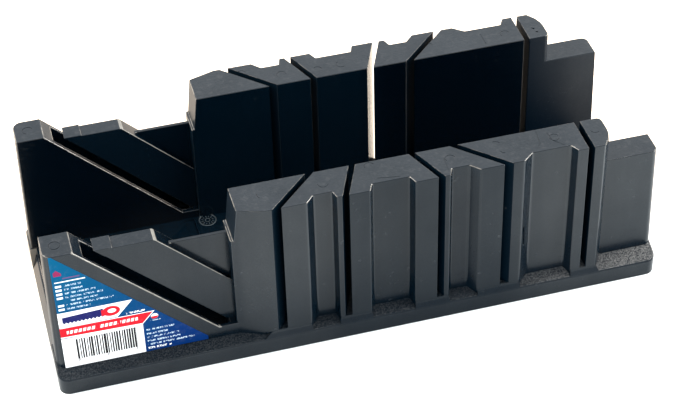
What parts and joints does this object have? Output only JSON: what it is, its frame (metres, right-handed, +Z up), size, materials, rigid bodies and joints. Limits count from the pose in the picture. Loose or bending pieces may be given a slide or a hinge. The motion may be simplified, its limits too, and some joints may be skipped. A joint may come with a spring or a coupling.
{
  "type": "mitre box",
  "caption": "Open plastic channel that guides a hand saw through upright mitre slots and a tipped bevel slot while cutting mouldings, with a printed label.",
  "frame": {"origin": "centre of the underside of the base, on the surface it stands on", "axes": "+X along the channel from the bevel-slot end to the square-slot end, +Y across the channel from the labelled wall to the other wall, +Z up"},
  "size_m": [0.3, 0.115, 0.088],
  "materials": {
    "box_plastic": "satin charcoal injection-moulded plastic, grained on the flange top",
    "label_film": "printed self-adhesive film, blue with white and red panels"
  },
  "bodies": {
    "root": {"moulded_box": "box_plastic", "front_label": "label_film"}
  },
  "joints": []
}
